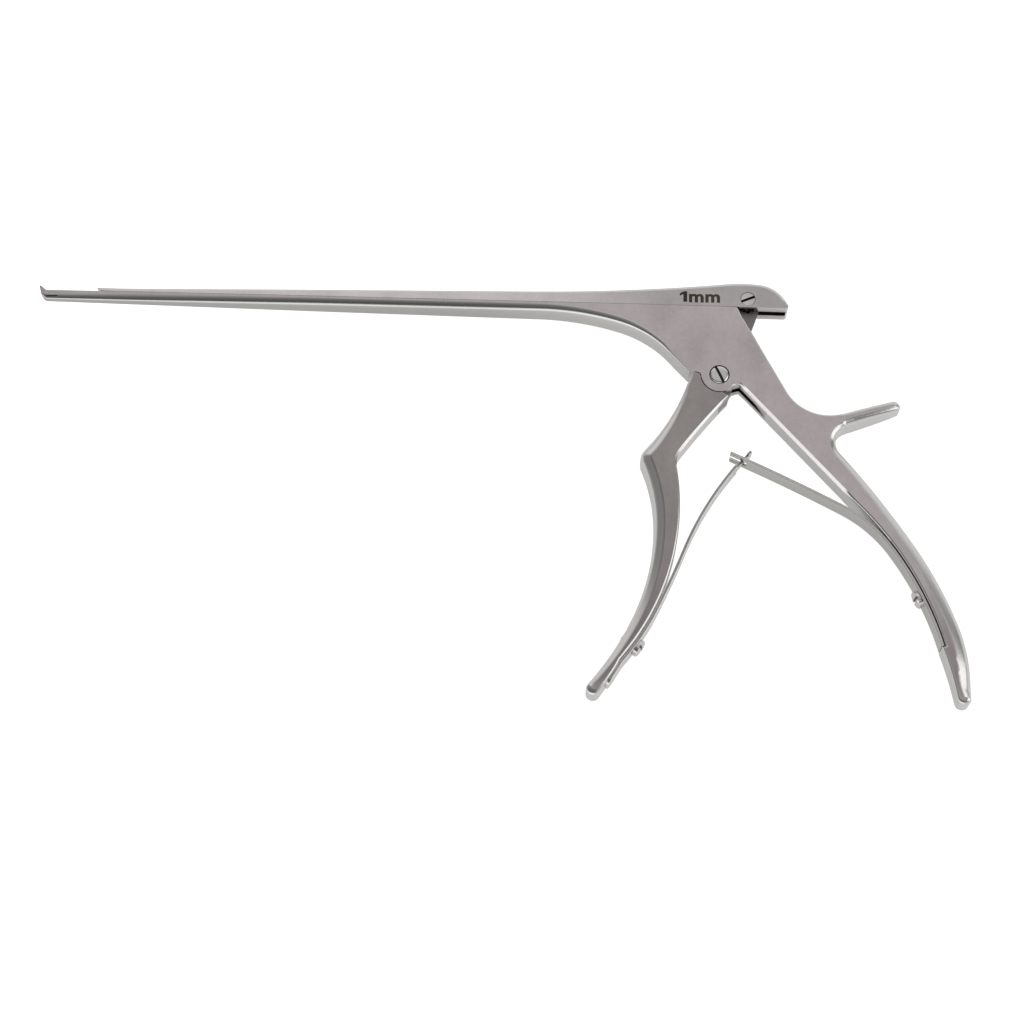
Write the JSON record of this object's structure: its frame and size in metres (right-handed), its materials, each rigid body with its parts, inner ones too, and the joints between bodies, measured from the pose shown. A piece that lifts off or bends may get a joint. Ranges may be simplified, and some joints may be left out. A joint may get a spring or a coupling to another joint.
{
  "type": "bone rongeur",
  "caption": "Long-shaft bone rongeur: a sliding upper jaw closes on a slanted footplate when a sprung trigger handle is squeezed towards a fixed handle with a thumb spur.",
  "frame": {"origin": "where the axis of the handle pivot meets the flat side the instrument lies on", "axes": "+X along the shaft from the jaws back to the handles, +Y from the handles up to the shaft, +Z the thickness, away from the side it lies on"},
  "size_m": [0.2875, 0.1355, 0.0089],
  "materials": {
    "satin_steel": "satin with bright polished edges",
    "polished_steel": "polished",
    "spring_steel": "smooth satin"
  },
  "bodies": {
    "frame": {"fixed_frame": "satin_steel", "pivot_screw": "polished_steel", "rear_spring_screw": "polished_steel"},
    "slide": {"upper_slide": "satin_steel", "drive_screw": "polished_steel"},
    "trigger": {"front_handle": "satin_steel", "front_spring_screw": "polished_steel"},
    "front_spring": {"front_leaf_spring": "spring_steel"},
    "rear_spring": {"rear_leaf_spring": "spring_steel"}
  },
  "joints": [
    {"name": "trigger_pivot", "type": "hinge", "parent": "frame", "child": "trigger", "pos_m": [0, 0, 0.00425], "axis": [0, 0, 1], "range_deg": [0, 36.9], "stiffness_Nm_per_rad": 1, "springref_deg": -17.19},
    {"name": "jaw_travel", "type": "slide", "parent": "frame", "child": "slide", "axis": [-1, 0, 0], "range_m": [0, 0.0173]},
    {"name": "front_leaf_bend", "type": "hinge", "parent": "trigger", "child": "front_spring", "pos_m": [-0.0166, -0.0725, 0.00425], "axis": [0, 0, 1], "range_deg": [0, 11.5], "deforming": ["front_leaf_spring"]},
    {"name": "rear_leaf_bend", "type": "hinge", "parent": "frame", "child": "rear_spring", "pos_m": [0.043, -0.0455, 0.00425], "axis": [0, 0, 1], "range_deg": [-13.2, 0], "deforming": ["rear_leaf_spring"]}
  ],
  "couplings": [
    {"joint": "jaw_travel", "follows": "trigger_pivot", "m_per_rad": 0.02686},
    {"joint": "front_leaf_bend", "follows": "trigger_pivot", "ratio": 0.307},
    {"joint": "rear_leaf_bend", "follows": "trigger_pivot", "ratio": -0.3523}
  ]
}
